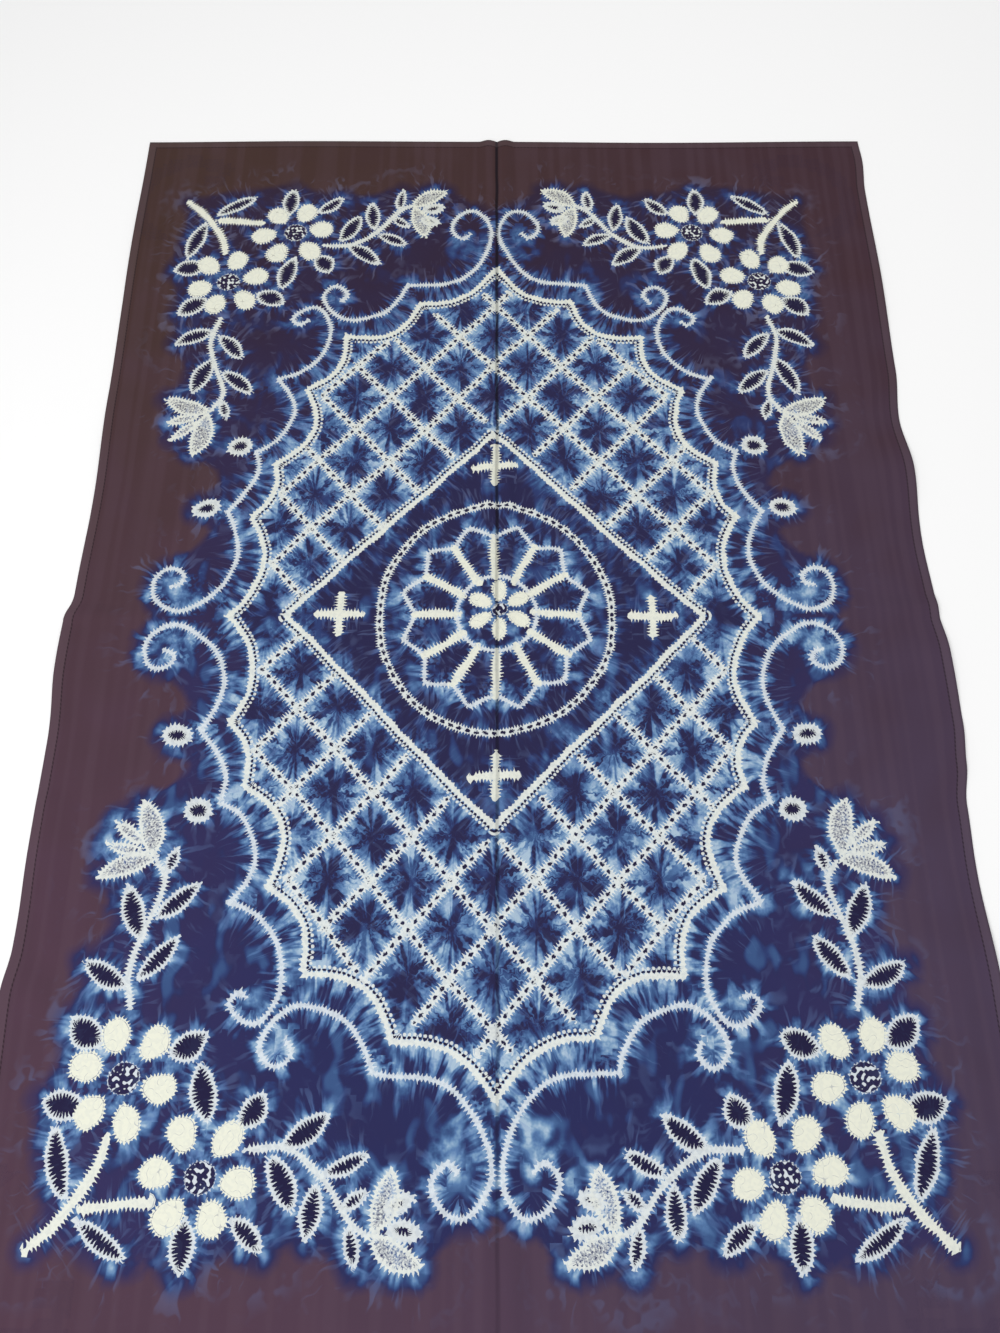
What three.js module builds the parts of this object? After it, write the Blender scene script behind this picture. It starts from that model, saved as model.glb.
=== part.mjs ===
// A tie-dyed cotton tablecloth, opened out of its folds and lying flat, face up.
// It is one panel of cloth with a narrow hem turned on all four sides. Millimetres, +Z up:
// X runs across the cloth, Y along it from the near end to the far end, and the surface
// that it lies on is Z = 0. The origin is at the middle of its box, on that surface.

import * as THREE from 'three';
import { mergeVertices } from 'three/addons/utils/BufferGeometryUtils.js';

// Driving dimensions
const CLOTH_WIDTH = 1100;
const CLOTH_LENGTH = 1600;
const CLOTH_THICKNESS = 2;
const HEM_WIDTH = 12;
const HEM_RISE = 0.8;
const HEM_STEP = 2;

const HALF_WIDTH = CLOTH_WIDTH / 2;
const HALF_LENGTH = CLOTH_LENGTH / 2;

// The fold pressed in along the cloth. It lies in a narrow valley between two soft flanks,
// which are higher on the far half.
const CENTRE_FOLD = { x: -9, flankAt: 13, flankHalf: 15, farRise: 3.4, nearRise: 1.8, blend: 260 };

// The fold pressed in across the cloth, a low ridge that is sharper in the plain borders.
const CROSS_FOLD = { leftY: 0, rightY: 12, half: 22, borderRise: 3.6, middleRise: 1.4, border: 150 };

// Soft creases left in the borders: a line from one point to another, its half width and rise.
const BORDER_CREASES = [
  { x0: -500, y0: 150, x1: -490, y1: 30, half: 26, rise: 2.2 },
  { x0: -489, y0: -25, x1: -487, y1: -210, half: 28, rise: 2.6 },
  { x0: -532, y0: -240, x1: -512, y1: -390, half: 24, rise: 2.4 },
  { x0: -536, y0: -430, x1: -497, y1: -468, half: 26, rise: 2.0 },
  { x0: 500, y0: 470, x1: 512, y1: 330, half: 26, rise: 1.8 },
  { x0: 505, y0: -330, x1: 498, y1: -520, half: 28, rise: 2.2 },
];

// Places where a side edge stands a little off the surface: its middle, half length along
// the edge, how far in from the edge the lift reaches, and how high the edge stands.
const LEFT_LIFTS = [
  { y: -45, half: 85, reach: 60, rise: 4.2 },
  { y: 240, half: 120, reach: 46, rise: 2.6 },
  { y: -425, half: 80, reach: 50, rise: 3.4 },
  { y: 610, half: 130, reach: 46, rise: 2.2 },
  { y: -680, half: 90, reach: 50, rise: 2.6 },
];
const RIGHT_LIFTS = [
  { y: 215, half: 75, reach: 52, rise: 3.8 },
  { y: -60, half: 80, reach: 56, rise: 4.4 },
  { y: -175, half: 50, reach: 46, rise: 3.0 },
  { y: 520, half: 150, reach: 46, rise: 2.4 },
  { y: -420, half: 90, reach: 50, rise: 3.0 },
  { y: -690, half: 80, reach: 46, rise: 2.4 },
];

// How far each edge strays outwards from a straight cut, at places along it.
const LEFT_EDGE = [
  { at: -800, out: -1 }, { at: -610, out: -3 }, { at: -450, out: 2 }, { at: -400, out: -4 },
  { at: -290, out: -1 }, { at: -160, out: -2 }, { at: -70, out: 3 }, { at: -8, out: 2.5 },
  { at: 30, out: -5 }, { at: 190, out: -9 }, { at: 330, out: -5 }, { at: 560, out: -2 },
  { at: 800, out: -3 },
];
const RIGHT_EDGE = [
  { at: -800, out: -4 }, { at: -660, out: -2 }, { at: -450, out: -7 }, { at: -310, out: -12 },
  { at: -240, out: -10 }, { at: -190, out: -3 }, { at: -135, out: 2.5 }, { at: -45, out: 1 },
  { at: 10, out: -4 }, { at: 105, out: -8 }, { at: 215, out: -3 }, { at: 292, out: -10 },
  { at: 375, out: -3 }, { at: 560, out: -0.5 }, { at: 700, out: -1 }, { at: 760, out: 3 },
  { at: 800, out: 1 },
];
const NEAR_EDGE = [
  { at: -550, out: -2 }, { at: -240, out: 2 }, { at: -9, out: -1 }, { at: 260, out: 1.5 },
  { at: 550, out: -3 },
];
const FAR_EDGE = [
  { at: -550, out: -1 }, { at: -300, out: 1.5 }, { at: -9, out: 0 }, { at: 240, out: -2 },
  { at: 550, out: 1 },
];
const EDGE_BLEND = 90;

// Mesh lines across and along the cloth: where a zone starts and how many parts it has.
const HEM_INNER = HEM_WIDTH + HEM_STEP;
const COLUMN_ZONES = [
  { at: -HALF_WIDTH, parts: 1 },
  { at: -HALF_WIDTH + HEM_WIDTH, parts: 1 },
  { at: -HALF_WIDTH + HEM_INNER, parts: 6 },
  { at: -HALF_WIDTH + 98, parts: 6 },
  { at: CENTRE_FOLD.x - 46, parts: 1 },
  { at: CENTRE_FOLD.x - 29, parts: 4 },
  { at: CENTRE_FOLD.x - 5, parts: 2 },
  { at: CENTRE_FOLD.x + 5, parts: 4 },
  { at: CENTRE_FOLD.x + 29, parts: 1 },
  { at: CENTRE_FOLD.x + 46, parts: 6 },
  { at: HALF_WIDTH - 98, parts: 6 },
  { at: HALF_WIDTH - HEM_INNER, parts: 1 },
  { at: HALF_WIDTH - HEM_WIDTH, parts: 1 },
  { at: HALF_WIDTH, parts: 0 },
];
const ROW_ZONES = [
  { at: -HALF_LENGTH, parts: 1 },
  { at: -HALF_LENGTH + HEM_WIDTH, parts: 1 },
  { at: -HALF_LENGTH + HEM_INNER, parts: 20 },
  { at: -30, parts: 2 },
  { at: -8, parts: 5 },
  { at: 20, parts: 2 },
  { at: 44, parts: 20 },
  { at: HALF_LENGTH - HEM_INNER, parts: 1 },
  { at: HALF_LENGTH - HEM_WIDTH, parts: 1 },
  { at: HALF_LENGTH, parts: 0 },
];

// The lines of a row of zones, evenly spaced inside each one.
function zoneLines(zones) {
  return zones.flatMap((zone, index) => {
    const next = zones[index + 1] ?? zone;
    const parts = Math.max(zone.parts, 1);
    const last = index === zones.length - 1;
    const count = last ? 1 : parts;
    return Array.from({ length: count }, (_, step) => zone.at + (next.at - zone.at) * step / parts);
  });
}

// A soft hump, 1 at its middle and 0 from half its width on, with no corner at either.
function hump(distance, half) {
  const share = Math.min(Math.abs(distance) / half, 1);
  return (1 - share ** 2) ** 2;
}

// How far along an edge's table of stray distances a place is, read off smoothly.
function strayAt(table, place) {
  const next = table.findIndex((row) => row.at >= place);
  if (next <= 0) {
    return next === 0 ? table[0].out : table.at(-1).out;
  }
  const low = table[next - 1];
  const high = table[next];
  const share = THREE.MathUtils.smoothstep(place, low.at, high.at);
  return THREE.MathUtils.lerp(low.out, high.out, share);
}

// The fold along the cloth: two flanks beside a line where the cloth dips to the surface.
function centreFoldRise(x, y) {
  const fold = CENTRE_FOLD;
  const far = THREE.MathUtils.smoothstep(y, -fold.blend, fold.blend);
  const rise = THREE.MathUtils.lerp(fold.nearRise, fold.farRise, far);
  return rise * hump(Math.abs(x - fold.x) - fold.flankAt, fold.flankHalf);
}

// The fold across the cloth.
function crossFoldRise(x, y) {
  const fold = CROSS_FOLD;
  const middle = THREE.MathUtils.mapLinear(x, -HALF_WIDTH, HALF_WIDTH, fold.leftY, fold.rightY);
  const inBorder = THREE.MathUtils.smoothstep(Math.abs(x), HALF_WIDTH - fold.border, HALF_WIDTH);
  const rise = THREE.MathUtils.lerp(fold.middleRise, fold.borderRise, inBorder);
  return rise * hump(y - middle, fold.half);
}

// One soft crease, which dies away past both of its ends.
function creaseRise(crease, x, y) {
  const start = new THREE.Vector2(crease.x0, crease.y0);
  const along = new THREE.Vector2(crease.x1, crease.y1).sub(start);
  const offset = new THREE.Vector2(x, y).sub(start);
  const share = THREE.MathUtils.clamp(offset.dot(along) / along.lengthSq(), 0, 1);
  const distance = offset.sub(along.multiplyScalar(share)).length();
  return crease.rise * hump(distance, crease.half);
}

// The lift of a side edge, with how far in from that edge the place is.
function edgeLift(lifts, inwards, y) {
  return lifts.reduce((sum, lift) => {
    const inShare = Math.max(1 - inwards / lift.reach, 0);
    return sum + lift.rise * inShare ** 2 * hump(y - lift.y, lift.half);
  }, 0);
}

// How far the cloth's underside stands off the surface.
function undersideHeight(x, y) {
  const creases = BORDER_CREASES.map((crease) => creaseRise(crease, x, y));
  return Math.max(
    centreFoldRise(x, y),
    crossFoldRise(x, y),
    edgeLift(LEFT_LIFTS, HALF_WIDTH + x, y),
    edgeLift(RIGHT_LIFTS, HALF_WIDTH - x, y),
    ...creases,
  );
}

// The cloth is thicker where the hem is turned under.
function thicknessAt(x, y) {
  const inwards = Math.min(HALF_WIDTH - Math.abs(x), HALF_LENGTH - Math.abs(y));
  const inHem = 1 - THREE.MathUtils.smoothstep(inwards, HEM_WIDTH, HEM_INNER);
  return CLOTH_THICKNESS + HEM_RISE * inHem;
}

// Where a point of the straight cut lies once the edges stray.
function strayedPlace(x, y) {
  const nearSide = (half, place) => THREE.MathUtils.smoothstep(place, half - EDGE_BLEND, half);
  const left = -strayAt(LEFT_EDGE, y) * nearSide(HALF_WIDTH, -x);
  const right = strayAt(RIGHT_EDGE, y) * nearSide(HALF_WIDTH, x);
  const near = -strayAt(NEAR_EDGE, x) * nearSide(HALF_LENGTH, -y);
  const far = strayAt(FAR_EDGE, x) * nearSide(HALF_LENGTH, y);
  return { x: x + left + right, y: y + near + far };
}

// The sheet starts as a box whose grid counts the mesh lines, and each of its points is
// then moved to where its line lies on the cloth.
function clothGeometry() {
  const columns = zoneLines(COLUMN_ZONES);
  const rows = zoneLines(ROW_ZONES);
  const [across, along] = [columns.length - 1, rows.length - 1];
  const box = new THREE.BoxGeometry(across, along, 1, across, along, 1);
  box.deleteAttribute('normal');
  box.deleteAttribute('uv');
  const geometry = mergeVertices(box);
  const points = geometry.attributes.position;
  for (let index = 0; index < points.count; index += 1) {
    const x = columns[Math.round(points.getX(index) + across / 2)];
    const y = rows[Math.round(points.getY(index) + along / 2)];
    const onTop = points.getZ(index) > 0;
    const place = strayedPlace(x, y);
    const height = undersideHeight(x, y) + (onTop ? thicknessAt(x, y) : 0);
    points.setXYZ(index, place.x, place.y, height);
  }
  geometry.computeBoundingBox();
  const middle = geometry.boundingBox.getCenter(new THREE.Vector3());
  geometry.translate(-middle.x, -middle.y, -geometry.boundingBox.min.z);
  geometry.computeVertexNormals();
  return geometry;
}

const indigoCotton = new THREE.MeshStandardMaterial({
  color: 0x2b2c58,
  roughness: 0.92,
  metalness: 0,
});

const cloth = new THREE.Mesh(clothGeometry(), indigoCotton);
cloth.name = 'cloth';

const tablecloth = new THREE.Group();
tablecloth.add(cloth);

export default tablecloth;
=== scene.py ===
"""Looks for a tie-dyed cotton tablecloth that lies flat, face up.

The cloth is one thin sheet on the folds of its solid. Its stitched-resist pattern is drawn
here as strokes, the lines that the dyer sewed and drew tight, and the shader works out what
the dye left white round each of them. Lengths are millimetres until a mesh is made, and
metres in the scene. X runs across the cloth, Y along it and Z up.
"""

import logging
import math
from dataclasses import dataclass, field
from enum import Enum, IntEnum

import bmesh
import bpy
import numpy as np
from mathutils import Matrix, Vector


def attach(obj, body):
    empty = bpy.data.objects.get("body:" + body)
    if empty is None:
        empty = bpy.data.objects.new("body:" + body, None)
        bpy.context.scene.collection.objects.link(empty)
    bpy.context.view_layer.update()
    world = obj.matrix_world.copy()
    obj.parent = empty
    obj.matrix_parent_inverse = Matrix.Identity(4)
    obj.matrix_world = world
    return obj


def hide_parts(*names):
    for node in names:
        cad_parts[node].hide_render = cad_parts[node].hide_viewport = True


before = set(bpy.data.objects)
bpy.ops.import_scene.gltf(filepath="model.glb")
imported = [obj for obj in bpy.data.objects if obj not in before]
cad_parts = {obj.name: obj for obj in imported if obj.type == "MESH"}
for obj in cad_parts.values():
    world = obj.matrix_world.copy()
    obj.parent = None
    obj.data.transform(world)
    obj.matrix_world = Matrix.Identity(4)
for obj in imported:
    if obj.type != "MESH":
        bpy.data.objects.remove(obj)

log = logging.getLogger("tablecloth")

MM = 0.001
CLOTH_WIDTH = 1100.0
CLOTH_LENGTH = 1600.0
HALF_WIDTH = CLOTH_WIDTH / 2
HALF_LENGTH = CLOTH_LENGTH / 2
HEM_WIDTH = 12.0
HEM_STEP = 2.0
MOST_POINTS = 200000

# Where the lengthwise fold lies, and the middle of the pattern from the middle of the cloth.
FOLD_X = -9.0
PATTERN_MIDDLE = (-12.5, 2.0)


class Style(Enum):
    """How a stroke was sewn, which sets what shows along it. The numbers are kept on the mesh."""

    LATTICE = 1
    RING = 2
    FRAME = 3
    DIAMOND = 4
    SCROLL = 5
    LEAF = 6
    BAR = 7
    STEM = 8
    PETAL = 9
    ALMOND = 10
    BUD = 11
    LOOP = 12
    LACE = 13
    HOUSE = 14
    POOL = 15


class Filling(IntEnum):
    """What is inside a closed outline."""

    DYE = 0
    CREAM = 1
    BLACK = 2
    LACE = 3
    HATCHING = 4
    POOL = 5


@dataclass(frozen=True)
class StitchLook:
    """What one style of stroke leaves on the cloth. Lengths are millimetres.

    The sewn side of a stroke is the side where its long stitches are: the inside of a closed
    outline, and the lattice's side of the frame and the diamond.
    """

    core: float  # half width of the solid pale line
    sewn_teeth: float  # length of the teeth on the sewn side
    plain_teeth: float  # length of the teeth on the other side
    pitch: float  # from one tooth to the next
    cream: float  # from blue-white at 0 to cream at 1
    sewn_glow: float  # how much paler the dye is beside the line, on the sewn side
    plain_glow: float
    reach: float  # how far that goes
    filling: Filling = Filling.DYE  # what fills a closed outline
    hole_pitch: float = 9.0  # from one dark needle hole to the next
    hole_size: float = 0.0  # 0 where none shows
    hole_place: float = 0.0  # how far the row of holes lies to the sewn side


# Each look's line has its core, both teeth, its pitch, cream, both glows and their reach.
LOOKS = {
    Style.LATTICE: StitchLook(
        3.2, 5.2, 5.2, 3.88, 0.45, 0.78, 0.78, 21.5, hole_pitch=11.64, hole_size=2.1),
    Style.RING: StitchLook(
        3.5, 3.6, 3.6, 3.64, 0.45, 0.36, 0.36, 12.0, hole_pitch=10.9, hole_size=2.3),
    Style.FRAME: StitchLook(
        2.6, 5.6, 3.2, 5.2, 0.60, 0.80, 0.90, 21.0, hole_pitch=5.2, hole_size=1.35,
        hole_place=4.9),
    Style.DIAMOND: StitchLook(
        2.8, 5.6, 2.2, 5.2, 0.60, 0.75, 0.30, 20.0, hole_pitch=5.2, hole_size=1.35,
        hole_place=5.0),
    Style.SCROLL: StitchLook(2.0, 4.1, 4.1, 4.2, 0.10, 0.74, 0.74, 14.0),
    Style.LEAF: StitchLook(1.2, 5.6, 2.8, 4.3, 0.25, 0.10, 0.62, 10.0, Filling.BLACK),
    Style.BAR: StitchLook(3.9, 4.6, 4.6, 4.1, 0.80, 0.42, 0.42, 10.0),
    Style.STEM: StitchLook(2.5, 4.2, 4.2, 4.2, 0.40, 0.50, 0.50, 10.0),
    Style.PETAL: StitchLook(0.3, 1.0, 3.2, 3.7, 1.00, 0.20, 0.62, 9.5, Filling.CREAM),
    Style.ALMOND: StitchLook(0.3, 1.0, 2.4, 4.0, 1.00, 0.20, 0.40, 9.0, Filling.CREAM),
    Style.BUD: StitchLook(1.4, 4.0, 4.4, 4.4, 0.60, 0.20, 0.66, 10.0, Filling.HATCHING),
    Style.LOOP: StitchLook(2.9, 4.2, 3.8, 4.2, 0.30, 0.10, 0.60, 10.0, Filling.BLACK),
    Style.LACE: StitchLook(0.0, 0.0, 1.6, 4.0, 0.05, 0.10, 0.46, 9.0, Filling.LACE),
    Style.HOUSE: StitchLook(1.8, 3.8, 3.2, 4.1, 0.12, 0.66, 0.36, 17.0),
    Style.POOL: StitchLook(0.0, 0.0, 0.0, 4.0, 0.00, 0.00, 0.00, 5.0, Filling.POOL),
}

# How much of a style's step up to the next number tells how surely its stroke counts.
SURE_SCALE = 0.9


@dataclass
class Stroke:
    """One sewn line of the pattern, as points a small step apart, in millimetres."""

    style: Style
    points: np.ndarray
    closed: bool = False
    flipped: bool = False


STEP = 2.0


def respaced(points: np.ndarray, closed: bool) -> np.ndarray:
    """The same line with its points one step apart.

    Args:
        points: the line's points, one row each.
        closed: True where the last point joins the first.

    Returns:
        The new points, without the first one again at the end of a closed line.
    """
    line = np.vstack([points, points[:1]]) if closed else points
    lengths = np.concatenate([[0.0], np.cumsum(np.linalg.norm(np.diff(line, axis=0), axis=1))])
    count = max(int(round(lengths[-1] / STEP)), 2)
    at = np.linspace(0.0, lengths[-1], count + 1)
    spaced = np.stack([np.interp(at, lengths, line[:, axis]) for axis in (0, 1)], axis=1)
    return spaced[:-1] if closed else spaced


def curve_through(stations: tuple[tuple[float, float], ...]) -> np.ndarray:
    """A smooth open curve through a few stations.

    Args:
        stations: the places that the curve passes, in order.

    Returns:
        Points along the curve, a step apart.
    """
    knots = np.array(stations, float)
    knots = np.vstack([2 * knots[:1] - knots[1:2], knots, 2 * knots[-1:] - knots[-2:-1]])
    shares = np.linspace(0.0, 1.0, 12, endpoint=False)[:, None]
    pieces = []
    for before, start, end, after in zip(knots, knots[1:], knots[2:], knots[3:]):
        straight = end - before
        square = 2 * before - 5 * start + 4 * end - after
        cubic = 3 * start - before - 3 * end + after
        pieces.append(0.5 * (2 * start + shares * (straight + shares * (square + shares * cubic))))
    pieces.append(knots[-2:-1])
    return respaced(np.vstack(pieces), False)


def arc(start: tuple[float, float], end: tuple[float, float], sag: float) -> np.ndarray:
    """A shallow arc between two places.

    Args:
        start: where it begins.
        end: where it ends.
        sag: how far its middle lies to the left of the straight way.

    Returns:
        Thirteen points along the arc.
    """
    begin, way = np.array(start), np.array(end) - np.array(start)
    left = np.array([-way[1], way[0]]) / np.linalg.norm(way)
    shares = np.linspace(0.0, 1.0, 13)[:, None]
    return begin + shares * way + 4 * sag * shares * (1 - shares) * left


def egg(middle: tuple[float, float], length: float, width: float, angle: float,
        point: float = 0.0, bumps: float = 0.0) -> np.ndarray:
    """A closed egg or almond.

    Args:
        middle: its middle.
        length: its whole length.
        width: its whole width.
        angle: the way that its length points, in degrees from X.
        point: from 0, a plain ellipse, to 1, pointed at its far end.
        bumps: how far its edge wanders in and out, as a share of its size.

    Returns:
        Points round it, anticlockwise.
    """
    turn = np.linspace(0.0, 2 * math.pi, 60, endpoint=False)
    phase = middle[0] * 0.37 + middle[1] * 0.11
    uneven = 1 + bumps * (np.sin(turn * 5 + phase) + 0.8 * np.sin(turn * 3 - phase * 2))
    across = np.sin(turn) * width / 2 * (1 - point * 0.45 * (1 + np.cos(turn)) / 2) * uneven
    along = np.cos(turn) * length / 2 * uneven
    way = math.radians(angle)
    x = middle[0] + along * math.cos(way) - across * math.sin(way)
    y = middle[1] + along * math.sin(way) + across * math.cos(way)
    return respaced(np.stack([x, y], axis=1), True)


def leaf(base: tuple[float, float], tip: tuple[float, float], width: float,
         bend: float = 0.0) -> np.ndarray:
    """A closed leaf with a point at both ends.

    Args:
        base: where it leaves its stem.
        tip: its far end.
        width: its whole width.
        bend: how far its middle bows to the left on the way to the tip.

    Returns:
        Points round it, anticlockwise.
    """
    right = arc(base, tip, bend - width / 2)
    left = arc(tip, base, -bend - width / 2)
    return respaced(np.vstack([right[:-1], left[:-1]]), True)


def inside(outline: np.ndarray, places: np.ndarray) -> np.ndarray:
    """Which places lie inside a closed outline.

    Args:
        outline: its points, one row each.
        places: the places to test, one row each.

    Returns:
        True for each place inside.
    """
    result = np.zeros(len(places), bool)
    ends = np.roll(outline, -1, axis=0)
    for (x0, y0), (x1, y1) in zip(outline, ends):
        if y0 == y1:
            continue
        crosses = (places[:, 1] > y0) != (places[:, 1] > y1)
        meets = x0 + (places[:, 1] - y0) * (x1 - x0) / (y1 - y0)
        result ^= crosses & (places[:, 0] < meets)
    return result


@dataclass
class ResistPattern:
    """The pattern, drawn once for the quarter that is right and far, and turned over to the rest.

    The lists are design places in millimetres from the pattern's middle.
    """

    ring_radius: tuple[float, float] = (146.0, 156.0)
    diamond_reach: tuple[float, float] = (262.0, 268.0)
    cross_places: tuple = ((197.0, 1.0), (-195.0, 1.0), (2.0, 217.0), (2.0, -208.0))
    cross_reach: float = 26.0

    # The scalloped frame: its cusps, and how far each arc between them sags inwards.
    frame_cusps: tuple = (
        (0, 548), (108, 489), (209, 429), (260, 337), (297, 218), (318, 140), (334, 0))
    frame_sags: tuple = (20, 27, 20, 31, 15, 30)

    # The lattice: half a cell across and along, where its rows start, and its lines, each
    # from one place to another counted in half cells.
    lattice_half: tuple[float, float] = (47.4, 51.2)
    lattice_start: float = 276.0
    lattice_lines: tuple = (
        (0, 2, 6, -4), (0, 4, 6, -2), (3.15, 2.85, 5, 1),
        (0.2, 0.2, 2.95, 2.95), (0, 2, 1.8, 3.8), (0, 4, 0.35, 4.35), (1.15, -0.85, 4.05, 2.05),
        (2.15, -1.85, 5, 1), (3.15, -2.85, 5.35, -0.65), (4.15, -3.85, 6, -2),
        (5.15, -4.85, 6, -4))

    # The flower in the ring: twelve spokes, and the points between them.
    spoke_inner: float = 49.0
    spoke_outer: float = 102.0
    point_radius: float = 121.0
    flower_stretch: float = 1.06
    spokes: int = 12
    almond_middle: tuple[float, float] = (3.5, 5.0)
    almond_radius: float = 27.0
    almonds: int = 6
    # Lengths and widths of the almonds and of the eye that they stand round.
    almond_size: tuple[float, float] = (29.0, 19.0)
    eye_size: tuple[float, float] = (19.0, 17.0)

    scrolls: tuple = (
        ((38, 613), (50, 604), (64, 622), (50, 649), (27, 655), (7, 626), (9, 592), (31, 549),
         (64, 526), (129, 519)),
        ((129, 519), (139, 494), (160, 470), (204, 457), (234, 472), (247, 497), (236, 515),
         (222, 515), (213, 503), (221, 491)),
        ((268, 452), (277, 447), (286, 459), (265, 477), (246, 472), (231, 441), (238, 402),
         (265, 369), (299, 354)),
        ((299, 354), (280, 322), (277, 295), (295, 255), (323, 236)),
        ((323, 236), (318, 214), (322, 192), (334, 169), (350, 147)),
        ((350, 147), (337, 120), (330, 82), (345, 44), (391, 10), (424, 20), (434, 42),
         (426, 62), (410, 67), (396, 58), (398, 47), (409, 42)),
    )
    loops: tuple = (((347, 247), 27, 20, 170), ((379, 153), 30, 18, 175))
    # Paler pools of dye that the tight turns of the scrolls held back.
    pools: tuple = (
        ((37, 588), 62, 74, 90), ((222, 494), 50, 40, 0), ((258, 458), 44, 40, 0),
        ((408, 42), 54, 50, 0), ((385, 25), 60, 40, 0))

    # The spray in the corner. Petals are placed from the middle of their flower. The two
    # sizes are the length and the width of a flower's middle and of a petal, and the shape
    # is how pointed a petal is and how far its edge wanders.
    centre_size: tuple[float, float] = (32.0, 30.0)
    petal_size: tuple[float, float] = (34.0, 31.0)
    petal_shape: tuple[float, float] = (0.55, 0.03)
    flowers: tuple = (
        ((294, 618), ((27, 33), (-15, 37), (45, -4), (-38, 6), (23, -38), (-23, -34))),
        ((385, 527), ((31, 31), (-9, 40), (-38, 9), (-26, -33), (16, -40), (41, -11))),
    )
    twigs: tuple = (
        ((457, 679), (436, 660), (415, 634), (400, 608), (394, 580)),
        ((408, 643), (376, 642), (344, 639)),
    )
    stems: tuple = (
        ((252, 594), (212, 593), (175, 616), (143, 657), (123, 670)),
        ((390, 461), (399, 425), (393, 385), (380, 348), (377, 325), (390, 305)),
    )
    # Leaves: base, tip, width and bend.
    leaves: tuple = (
        ((412, 653), (357, 689), 17, -2), ((425, 638), (449, 570), 21, 3),
        ((305, 652), (303, 703), 22, 0), ((262, 656), (227, 685), 17, 2),
        ((291, 570), (309, 513), 24, 2), ((262, 573), (239, 541), 25, -3),
        ((421, 556), (467, 545), 27, 2), ((414, 497), (451, 468), 27, 2),
        ((343, 504), (303, 486), 26, -3),
        ((228, 600), (198, 650), 22, 2), ((178, 622), (184, 674), 19, 0),
        ((144, 660), (137, 699), 13, 1), ((217, 592), (170, 559), 21, -2),
        ((174, 614), (128, 594), 15, -2), ((152, 648), (126, 630), 11, 2),
        ((397, 438), (451, 414), 20, 2), ((389, 432), (353, 389), 20, -2),
        ((393, 391), (418, 332), 23, 3), ((381, 368), (337, 330), 20, -2),
        ((377, 320), (368, 290), 12, 0),
    )
    # Bud petals: base, tip, width and bend, the large ones first.
    buds: tuple = (
        ((122, 668), (72, 697), 21, -3), ((120, 666), (104, 610), 24, -3),
        ((392, 302), (453, 323), 21, -3), ((396, 300), (410, 233), 25, -3),
        ((405, 296), (449, 285), 10, 0), ((408, 286), (441, 258), 10, 0),
    )
    bud_loops: tuple = (((90, 664), 27, 15, 170), ((96, 640), 25, 12, 200))
    # From where to where the near end spreads out, and by how much of its place.
    near_spread: tuple[float, float] = (330.0, 560.0)
    near_stretch: tuple[float, float] = (0.022, 0.015)
    strokes: list[Stroke] = field(default_factory=list)

    def frame_quarter(self) -> np.ndarray:
        """The frame's outline in one quarter, from its far cusp round to its side cusp."""
        cusps = self.frame_cusps
        parts = [
            arc(start, end, -sag)[:-1]
            for start, end, sag in zip(cusps, cusps[1:], self.frame_sags)
        ]
        return np.vstack([*parts, [cusps[-1]]])

    def frame_outline(self) -> np.ndarray:
        """The whole frame, anticlockwise from its right cusp."""
        quarter = self.frame_quarter()
        first = quarter[::-1][:-1]
        second = (quarter * (-1, 1))[:-1]
        third = (quarter * (-1, -1))[::-1][:-1]
        fourth = (quarter * (1, -1))[:-1]
        return respaced(np.vstack([first, second, third, fourth]), True)

    def add(self, style: Style, points: np.ndarray, closed: bool = False,
            flipped: bool = False) -> None:
        """Keeps one stroke, as it is."""
        self.strokes.append(Stroke(style, respaced(points, closed), closed, flipped))

    def add_to_quarters(self, style: Style, points: np.ndarray, closed: bool = False) -> None:
        """Keeps a stroke in each quarter, turned over so that its run stays anticlockwise."""
        for side in (1, -1):
            for end in (1, -1):
                turned = points * (side, end)
                self.add(style, turned[::-1] if side * end < 0 else turned, closed)

    def draw_middle(self) -> None:
        """The ring, the diamond, the crosses and the flower in the ring."""
        turn = np.linspace(0.0, 2 * math.pi, 240, endpoint=False)
        ring = np.stack([np.cos(turn), np.sin(turn)], axis=1) * self.ring_radius
        self.add(Style.RING, ring, closed=True)
        across, along = self.diamond_reach
        diamond = np.array([(across, 0), (0, along), (-across, 0), (0, -along)], float)
        self.add(Style.DIAMOND, diamond, closed=True, flipped=True)
        for x, y in self.cross_places:
            reach = self.cross_reach
            self.add(Style.BAR, np.array([(x - reach, y - 0.5), (x + reach, y + 0.5)]))
            self.add(Style.BAR, np.array([(x, y - reach), (x, y + reach)]))
        stretch = np.array([1.0, self.flower_stretch])
        turns = np.radians(np.arange(2 * self.spokes + 1) * 180 / self.spokes)
        ways = np.stack([np.cos(turns), np.sin(turns)], axis=1)
        for step in range(self.spokes):
            way, between, following = ways[2 * step:2 * step + 3]
            inner, outer = way * self.spoke_inner * stretch, way * self.spoke_outer * stretch
            point = between * self.point_radius * stretch
            next_inner = following * self.spoke_inner * stretch
            next_outer = following * self.spoke_outer * stretch
            self.add(Style.BAR, np.array([inner, outer]))
            self.add(Style.HOUSE, np.array([outer, point, next_outer])[::-1])
            self.add(Style.HOUSE, arc(tuple(inner), tuple(next_inner), -2.0))
        middle = np.array(self.almond_middle)
        for number in range(self.almonds):
            degrees = (number + 0.5) * 360 / self.almonds
            way = math.radians(degrees)
            place = middle + self.almond_radius * np.array([math.cos(way), math.sin(way)])
            almond = egg(tuple(place), *self.almond_size, degrees + 180, 0.5)
            self.add(Style.ALMOND, almond, closed=True)
        self.add(Style.LACE, egg(tuple(middle), *self.eye_size, 0), closed=True)

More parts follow.
